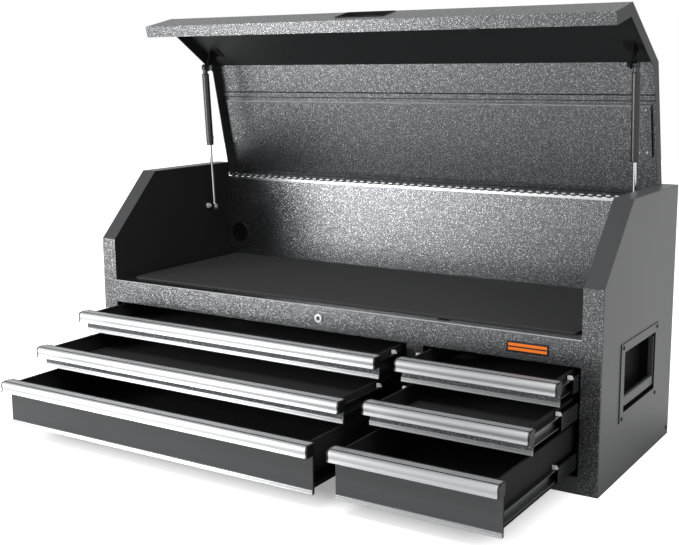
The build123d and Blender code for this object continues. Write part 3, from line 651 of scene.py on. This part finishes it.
chrome = one_coat("hard_chrome", chrome_shader)
paint(chrome, "left_strut_rod", "right_strut_rod")
tube_finish = two_coats(
    "stoved_black_tube",
    lambda coat: smooth_shader(coat, TUBE_BLACK, TUBE_ROUGHNESS, FACET_ROUNDING, TUBE_SHINE),
    lambda coat: zinc_shader(coat, ZINC, FACET_ROUNDING),
    lambda coat: along(coat, "Object", tuple(strut_up), head_reach - SOCKET_LENGTH),
)
paint(tube_finish, "left_strut_tube", "right_strut_tube")
pale_nickel = one_coat(
    "pale_nickel", lambda coat: smooth_shader(coat, NICKEL, STUD_ROUGHNESS, shine=NICKEL_SHINE)
)
paint(pale_nickel, "strut_studs")
for side in BANKS:
    band = bmesh.new()
    start = point_on_strut(side, foot_reach + BAND_FROM_END)
    add_ring(band, start, strut_up, TUBE_RADIUS + BAND_PROUD, TUBE_RADIUS - BAND_PROUD, BAND_WIDTH)
    add_piece(f"{side}_strut_band", band, bright_zinc, f"{side}_strut_tube")

nut_line = point_on_strut("right", head_reach - NUT_FROM_HEAD)
nut_centre = (NUT_FROM_MIDDLE, nut_line.y, nut_line.z)


def nut_mask(coat):
    """One on the nuts of the lid's studs, which are alike on both sides."""
    place = node(coat, "ShaderNodeTexCoord").outputs["Object"]
    one_side = node(coat, "ShaderNodeVectorMath", {0: place}, operation="ABSOLUTE").outputs[0]
    away = node(coat, "ShaderNodeVectorMath", {0: one_side, 1: nut_centre}, operation="DISTANCE")
    return node(
        coat, "ShaderNodeMath", {0: away.outputs["Value"], 1: NUT_REACH}, operation="LESS_THAN"
    ).outputs[0]


bracket_coat = two_coats(
    "lid_bracket_coat",
    matt_shader,
    lambda coat: smooth_shader(coat, NICKEL, NUT_ROUGHNESS, shine=NICKEL_SHINE),
    nut_mask,
)
paint(bracket_coat, "lid_brackets")


# Piano hinge
# A long hinge of rolled zinc-plated strip: two narrow leaves whose edges are curled in turn round one pin.
# The lower leaf is welded to the back panel, and the band under its knuckles is painted dark as shade. The
# upper one is on the lid's back flange and is painted with it, in the dark tone that stands for shade
# there.
HINGE_ZINC = "#bcbdbe"
LEAF_PAINT_ROUGHNESS = 0.4
KNUCKLE_PITCH = 8.5 * MILLIMETRE
KNUCKLE_GAP = 0.35 * MILLIMETRE
KNUCKLE_RADIUS = 2.75 * MILLIMETRE
KNUCKLE_BRIGHT = 0.6 * KNUCKLE_RADIUS
LEAF_SHEET = 1.0 * MILLIMETRE
LEAF_SETBACK = 4.0 * MILLIMETRE
LOWER_LEAF = 5.0 * MILLIMETRE
UPPER_LEAF = 20.0 * MILLIMETRE
pin_low, pin_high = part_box("hinge_pin")
hinge_line = (pin_low + pin_high) / 2
leaf_back = hinge_line.y + KNUCKLE_RADIUS
leaf_front = leaf_back - LEAF_SHEET
knuckle_count = round((pin_high.x - pin_low.x) / KNUCKLE_PITCH)
lid_opening = (
    Matrix.Translation(hinge_line) @ Matrix.Rotation(-LID_ANGLE, 4, "X") @ Matrix.Translation(-hinge_line)
)


def add_round(shape, centre, direction, radius, length, top_radius=None, sides=24):
    """Add a closed cylinder or cone that starts at the centre and runs along the direction."""
    turn = Vector(direction).to_track_quat("Z", "Y").to_matrix().to_4x4()
    middle = Vector(centre) + Vector(direction).normalized() * length / 2
    bmesh.ops.create_cone(
        shape,
        cap_ends=True,
        segments=sides,
        radius1=radius,
        radius2=radius if top_radius is None else top_radius,
        depth=length,
        matrix=Matrix.Translation(middle) @ turn,
    )


def add_block(shape, low, high, turn=Matrix.Identity(4)):
    """Add a closed box between two corners, then turn it."""
    low, high = Vector(low), Vector(high)
    size = Matrix.Diagonal((*(high - low), 1))
    bmesh.ops.create_cube(shape, size=1, matrix=turn @ Matrix.Translation((low + high) / 2) @ size)


def hinge_leaf(up, leaf, first, turn):
    """One leaf with every second knuckle and the tabs between them, turned about the pin."""
    shape = bmesh.new()
    near = hinge_line.z + up * LEAF_SETBACK
    far = near + up * leaf
    add_block(
        shape,
        (pin_low.x, leaf_front, min(near, far)),
        (pin_high.x, leaf_back, max(near, far)),
        turn,
    )
    for index in range(first, knuckle_count, 2):
        start = pin_low.x + index * KNUCKLE_PITCH + KNUCKLE_GAP / 2
        length = KNUCKLE_PITCH - KNUCKLE_GAP
        add_round(shape, (start, hinge_line.y, hinge_line.z), (1, 0, 0), KNUCKLE_RADIUS, length)
        add_block(
            shape,
            (start, leaf_front, min(near, hinge_line.z)),
            (start + length, leaf_back, max(near, hinge_line.z)),
            turn,
        )
    return shape


def bright_mask(metal):
    """One on the knuckles' upper part and on the leaf below them, zero between, where the tabs and the
    knuckles' undersides are painted dark as shade.
    """
    knuckles = along(metal, "Object", (0, 0, 1), hinge_line.z - KNUCKLE_BRIGHT)
    leaf = along(metal, "Object", (0, 0, -1), LEAF_SETBACK - hinge_line.z)
    return node(metal, "ShaderNodeMath", {0: knuckles, 1: leaf}, operation="ADD").outputs[0]


paint(zinc, "hinge_pin")
# Below the knuckles, the lower leaf's tabs and the knuckles' undersides are painted dark as shade.
lower_finish = two_coats(
    "hinge_plate",
    lambda metal: zinc_shader(metal, SLIDE_BLACK_AND_HINGE_SHADE),
    lambda metal: zinc_shader(metal, HINGE_ZINC),
    bright_mask,
)
lower_leaf = add_piece(
    "lower_hinge_leaf",
    hinge_leaf(-1, LOWER_LEAF, 0, Matrix.Identity(4)),
    lower_finish,
    "cabinet",
)
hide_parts("hinge_body_leaf")
# The upper leaf is painted in the lid's dark tone, which stands for shade.
leaf_coat = one_coat(
    "leaf_in_painted_shade", lambda coat: smooth_shader(coat, LID_SHADE_TONE, LEAF_PAINT_ROUGHNESS)
)
upper_leaf = add_piece(
    "upper_hinge_leaf", hinge_leaf(1, UPPER_LEAF, 1, lid_opening), leaf_coat, "lid"
)
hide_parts("hinge_lid_leaf")


# Screws and rivets
# Black machine screws hold the handle plates and the lower rear corners, zinc screws the hinge's
# upper leaf, and domed rivets the ends of the lid's stiffener. Heads only, each a low cone.
SCREW_RADIUS = 4.0 * MILLIMETRE
SCREW_TOP_RADIUS = 0.6 * SCREW_RADIUS
RIVET_RADIUS = 3.0 * MILLIMETRE
RIVET_TOP_RADIUS = 0.5 * RIVET_RADIUS
HEAD_HEIGHT = 1.2 * MILLIMETRE
HANDLE_SCREW_Y = 88.0 * MILLIMETRE
HANDLE_SCREW_LEVELS = (102.4 * MILLIMETRE, 220.8 * MILLIMETRE)
REAR_SCREW_INSET = 12.6 * MILLIMETRE
REAR_SCREW_LEVEL = 14.4 * MILLIMETRE
HINGE_SCREWS = 11
HINGE_SCREW_PITCH = 95.3 * MILLIMETRE
HINGE_SCREW_RISE = 17.0 * MILLIMETRE
RIVET_INSET = 9.0 * MILLIMETRE
panel_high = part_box("right_side_panel")[1]
for side, sign in (("left", -1), ("right", 1)):
    side_heads = bmesh.new()
    feet = [(cups_high.x, y, z) for y in (-HANDLE_SCREW_Y, HANDLE_SCREW_Y) for z in HANDLE_SCREW_LEVELS]
    feet.append((panel_high.x, panel_high.y - REAR_SCREW_INSET, REAR_SCREW_LEVEL))
    for x, y, z in feet:
        add_round(side_heads, (sign * x, y, z), (sign, 0, 0), SCREW_RADIUS, HEAD_HEIGHT, SCREW_TOP_RADIUS)
    add_piece(f"{side}_side_screws", side_heads, black_coat, "cabinet")

hinge_heads = bmesh.new()
leaf_outward = OPENING @ Vector((0, -1, 0))
for index in range(HINGE_SCREWS):
    from_middle = (index - (HINGE_SCREWS - 1) / 2) * HINGE_SCREW_PITCH
    foot = lid_opening @ Vector((from_middle, leaf_front, hinge_line.z + HINGE_SCREW_RISE))
    add_round(hinge_heads, foot, leaf_outward, RIVET_RADIUS, HEAD_HEIGHT, RIVET_TOP_RADIUS)
add_piece("hinge_screws", hinge_heads, bright_zinc, "lid")

rivets = bmesh.new()
stiffener_outward = OPENING @ Vector((0, 0, -1))
stiffener_down = OPENING @ Vector((0, 1, 0))
stiffener_span = (stiffener_high.z - stiffener_low.z) / -stiffener_down.z
for sign in (-1, 1):
    corner = Vector((sign * (stiffener_high.x - RIVET_INSET), stiffener_low.y, stiffener_high.z))
    for reach in (RIVET_INSET, stiffener_span - RIVET_INSET):
        foot = corner + reach * stiffener_down
        add_round(rivets, foot, stiffener_outward, RIVET_RADIUS, HEAD_HEIGHT, RIVET_TOP_RADIUS)
add_piece("stiffener_rivets", rivets, bright_zinc, "lid")


# Badge plate
# A blank plate at the fascia's right end, stamped from sheet and stoved in black enamel, with two
# raised bars in orange enamel.
BADGE_BLACK = "#0c0c0c"
BADGE_BLACK_ROUGHNESS = 0.3
BADGE_ORANGE = "#ff7d1a"
BADGE_ORANGE_ROUGHNESS = 0.35
BADGE_LOW = (362 * MILLIMETRE, 217 * MILLIMETRE)
BADGE_HIGH = (434 * MILLIMETRE, 235 * MILLIMETRE)
BADGE_THICKNESS = 0.8 * MILLIMETRE
BAR_COUNT = 2
BAR_MARGIN = 3.0 * MILLIMETRE
BAR_GAP = 2.4 * MILLIMETRE
BAR_PROUD = 0.2 * MILLIMETRE
badge_black = one_coat(
    "badge_enamel", lambda coat: smooth_shader(coat, BADGE_BLACK, BADGE_BLACK_ROUGHNESS)
)
badge_orange = one_coat(
    "badge_orange_enamel", lambda coat: smooth_shader(coat, BADGE_ORANGE, BADGE_ORANGE_ROUGHNESS)
)
plate = bmesh.new()
plate_front = fascia_low.y - BADGE_THICKNESS
add_block(
    plate,
    (BADGE_LOW[0], plate_front, BADGE_LOW[1]),
    (BADGE_HIGH[0], fascia_low.y, BADGE_HIGH[1]),
)
add_piece("badge_plate", plate, badge_black, "cabinet")
bars = bmesh.new()
bar_height = (BADGE_HIGH[1] - BADGE_LOW[1] - 2 * BAR_MARGIN - BAR_GAP) / BAR_COUNT
for index in range(BAR_COUNT):
    bar_foot = BADGE_LOW[1] + BAR_MARGIN + index * (bar_height + BAR_GAP)
    add_block(
        bars,
        (BADGE_LOW[0] + BAR_MARGIN, plate_front - BAR_PROUD, bar_foot),
        (BADGE_HIGH[0] - BAR_MARGIN, plate_front, bar_foot + bar_height),
    )
add_piece("badge_bars", bars, badge_orange, "cabinet")


# Cable grommet
# A black ring of moulded plastic, pressed into the back panel's hole. The mould leaves it smooth and
# half glossy.
GROMMET_ROUGHNESS = 0.28
gloss_plastic = one_coat(
    "moulded_black_plastic", lambda coat: smooth_shader(coat, TUBE_BLACK, GROMMET_ROUGHNESS)
)
paint(gloss_plastic, "cable_grommet")


# Floor
# A plain pale floor that keeps the chest's soft shadow and otherwise reads as white. It brightens into the
# backdrop within a hand's breadth of the chest. What mirrors it sees it painted dark beside the chest as
# shade, and bright further out. Distances are in metres.
FLOOR_REACH = 6.0
FLOOR_CENTRE = (0.0, -0.135, 0.0)
FOOTPRINT = (0.40, 0.235, 1.0)
SHADOW_REACH = 0.13
SHADOW_GLOW = 0.3
GLEAM_FROM = 0.04
GLEAM_TO = 0.3
GLEAM_GLOW = 0.92
FLOOR_PALE = "#e6e6e6"
FLOOR_MIRRORED_SHADE = "#3c3c3c"
WHITE = "#ffffff"


def floor_shader(coat):
    """Pale paint that glows more and more with the distance from the chest's footprint."""
    place = node(coat, "ShaderNodeTexCoord").outputs["Object"]
    offset = node(coat, "ShaderNodeVectorMath", {0: place, 1: FLOOR_CENTRE}, operation="SUBTRACT")
    quarter = node(coat, "ShaderNodeVectorMath", {0: offset.outputs[0]}, operation="ABSOLUTE")
    past = node(
        coat, "ShaderNodeVectorMath", {0: quarter.outputs[0], 1: FOOTPRINT}, operation="SUBTRACT"
    )
    outside = node(
        coat, "ShaderNodeVectorMath", {0: past.outputs[0], 1: (0, 0, 0)}, operation="MAXIMUM"
    )
    away = node(coat, "ShaderNodeVectorMath", {0: outside.outputs[0]}, operation="LENGTH")
    fade = node(
        coat,
        "ShaderNodeMapRange",
        {"Value": away.outputs["Value"], "From Max": SHADOW_REACH, "To Min": SHADOW_GLOW},
        interpolation_type="SMOOTHSTEP",
    )
    gleam = node(
        coat,
        "ShaderNodeMapRange",
        {
            "Value": away.outputs["Value"],
            "From Min": GLEAM_FROM,
            "From Max": GLEAM_TO,
            "To Max": GLEAM_GLOW,
        },
    )
    rays = node(coat, "ShaderNodeLightPath")
    direct = node(
        coat,
        "ShaderNodeMath",
        {0: fade.outputs[0], 1: rays.outputs["Is Camera Ray"]},
        operation="MULTIPLY",
    )
    strength = node(
        coat,
        "ShaderNodeMath",
        {0: gleam.outputs[0], 1: rays.outputs["Is Glossy Ray"], 2: direct.outputs[0]},
        operation="MULTIPLY_ADD",
    )
    glow = node(coat, "ShaderNodeEmission", {"Color": linear(WHITE), "Strength": strength.outputs[0]})
    # What mirrors the floor sees it in a dark tone, which is painted shade beside the chest.
    tone = node(
        coat,
        "ShaderNodeMix",
        {"Factor": rays.outputs["Is Glossy Ray"], 6: linear(FLOOR_PALE), 7: linear(FLOOR_MIRRORED_SHADE)},
        data_type="RGBA",
    )
    surface = node(coat, "ShaderNodeBsdfDiffuse", {"Color": tone.outputs[2]})
    return node(coat, "ShaderNodeAddShader", {0: surface.outputs[0], 1: glow.outputs[0]})


floor_mesh = bpy.data.meshes.new("floor")
floor_shape = bmesh.new()
bmesh.ops.create_grid(floor_shape, x_segments=1, y_segments=1, size=FLOOR_REACH)
floor_shape.to_mesh(floor_mesh)
floor_shape.free()
floor = bpy.data.objects.new("floor", floor_mesh)
bpy.context.scene.collection.objects.link(floor)
floor_mesh.materials.append(one_coat("floor_paint", floor_shader))


# World
# Glossy pieces mirror white surroundings at eye level under a dark studio ceiling. Everything is
# lit by an even soft fill, and the camera sees plain white.
FILL_LIGHT = 0.46
CEILING_FROM = 0.1
CEILING_TO = 0.6
HORIZON_LIGHT = 0.85
CEILING_LIGHT = 0.38
world = bpy.data.worlds.new("studio")
world.use_nodes = True
bpy.context.scene.world = world
world.node_tree.nodes.clear()
world_output = world.node_tree.nodes.new("ShaderNodeOutputWorld")
rays = node(world, "ShaderNodeLightPath")
seen = node(
    world,
    "ShaderNodeMath",
    {0: rays.outputs["Is Glossy Ray"], 1: rays.outputs["Is Transmission Ray"]},
    operation="MAXIMUM",
)
sky_place = node(world, "ShaderNodeTexCoord").outputs["Generated"]
sky_height = node(world, "ShaderNodeSeparateXYZ", {0: sky_place})
ceiling = node(
    world,
    "ShaderNodeMapRange",
    {
        "Value": sky_height.outputs["Z"],
        "From Min": CEILING_FROM,
        "From Max": CEILING_TO,
        "To Min": HORIZON_LIGHT,
        "To Max": CEILING_LIGHT,
    },
)
soft_fill = node(world, "ShaderNodeBackground", {"Color": linear(WHITE), "Strength": FILL_LIGHT})
mirrored = node(world, "ShaderNodeBackground", {"Color": linear(WHITE), "Strength": ceiling.outputs[0]})
plain_white = node(world, "ShaderNodeBackground", {"Color": linear(WHITE), "Strength": 1.0})
lighting = node(
    world, "ShaderNodeMixShader", {0: seen.outputs[0], 1: soft_fill.outputs[0], 2: mirrored.outputs[0]}
)
backdrop = node(
    world,
    "ShaderNodeMixShader",
    {0: rays.outputs["Is Camera Ray"], 1: lighting.outputs[0], 2: plain_white.outputs[0]},
)
world.node_tree.links.new(backdrop.outputs[0], world_output.inputs["Surface"])


# Lamps
# Three softboxes: a broad one low on the left front, a narrow one high in front and a large weak one
# high on the right. Sizes and places are in metres.
def softbox(name, place, target, width, height, watts):
    """A rectangular area lamp at a place, turned towards its target."""
    lamp = bpy.data.lights.new(name, "AREA")
    lamp.shape = "RECTANGLE"
    lamp.size = width
    lamp.size_y = height
    lamp.energy = watts
    holder = bpy.data.objects.new(name, lamp)
    holder.location = place
    holder.rotation_mode = "QUATERNION"
    holder.rotation_quaternion = (Vector(target) - Vector(place)).to_track_quat("-Z", "Y")
    bpy.context.scene.collection.objects.link(holder)


softbox("key_softbox", (-1.45, -2.0, 0.5), (0, 0, 0.35), width=0.85, height=1.0, watts=26)
softbox("front_softbox", (0.15, -1.9, 2.1), (0.2, -0.2, 0.3), width=0.8, height=0.5, watts=20)
softbox("side_softbox", (2.6, -0.4, 1.5), (0.3, 0, 0.3), width=1.4, height=1.4, watts=16)


# Camera
# Where the photograph was taken from: right of the front, a little above the till. Angles are in
# radians, and the focal length and the centre are in the photograph's pixels.
CAMERA_PLACE = (1.06952, -1.78763, 0.67048)
CAMERA_HEADING = -0.57240
CAMERA_TILT = -0.17320
CAMERA_ROLL = -0.0079
CAMERA_FOCAL_PIXELS = 1110.3
CAMERA_CENTRE = (335.81, 259.49)
PHOTO_WIDTH = 679
PHOTO_HEIGHT = 545
SENSOR = 36.0
ahead = Vector(
    (
        math.sin(CAMERA_HEADING) * math.cos(CAMERA_TILT),
        math.cos(CAMERA_HEADING) * math.cos(CAMERA_TILT),
        math.sin(CAMERA_TILT),
    )
)
level_right = ahead.cross(Vector((0, 0, 1))).normalized()
level_up = level_right.cross(ahead)
camera_right = math.cos(CAMERA_ROLL) * level_right + math.sin(CAMERA_ROLL) * level_up
camera_up = camera_right.cross(ahead)
camera_data = bpy.data.cameras.new("camera")
camera_data.sensor_width = SENSOR
camera_data.lens = CAMERA_FOCAL_PIXELS / PHOTO_WIDTH * SENSOR
camera_data.shift_x = (PHOTO_WIDTH / 2 - CAMERA_CENTRE[0]) / PHOTO_WIDTH
camera_data.shift_y = (CAMERA_CENTRE[1] - PHOTO_HEIGHT / 2) / PHOTO_WIDTH
camera = bpy.data.objects.new("camera", camera_data)
camera_turn = Matrix((camera_right, camera_up, -ahead)).transposed().to_4x4()
camera.matrix_world = Matrix.Translation(CAMERA_PLACE) @ camera_turn
bpy.context.scene.collection.objects.link(camera)
bpy.context.scene.camera = camera
bpy.context.scene.view_settings.view_transform = "Standard"
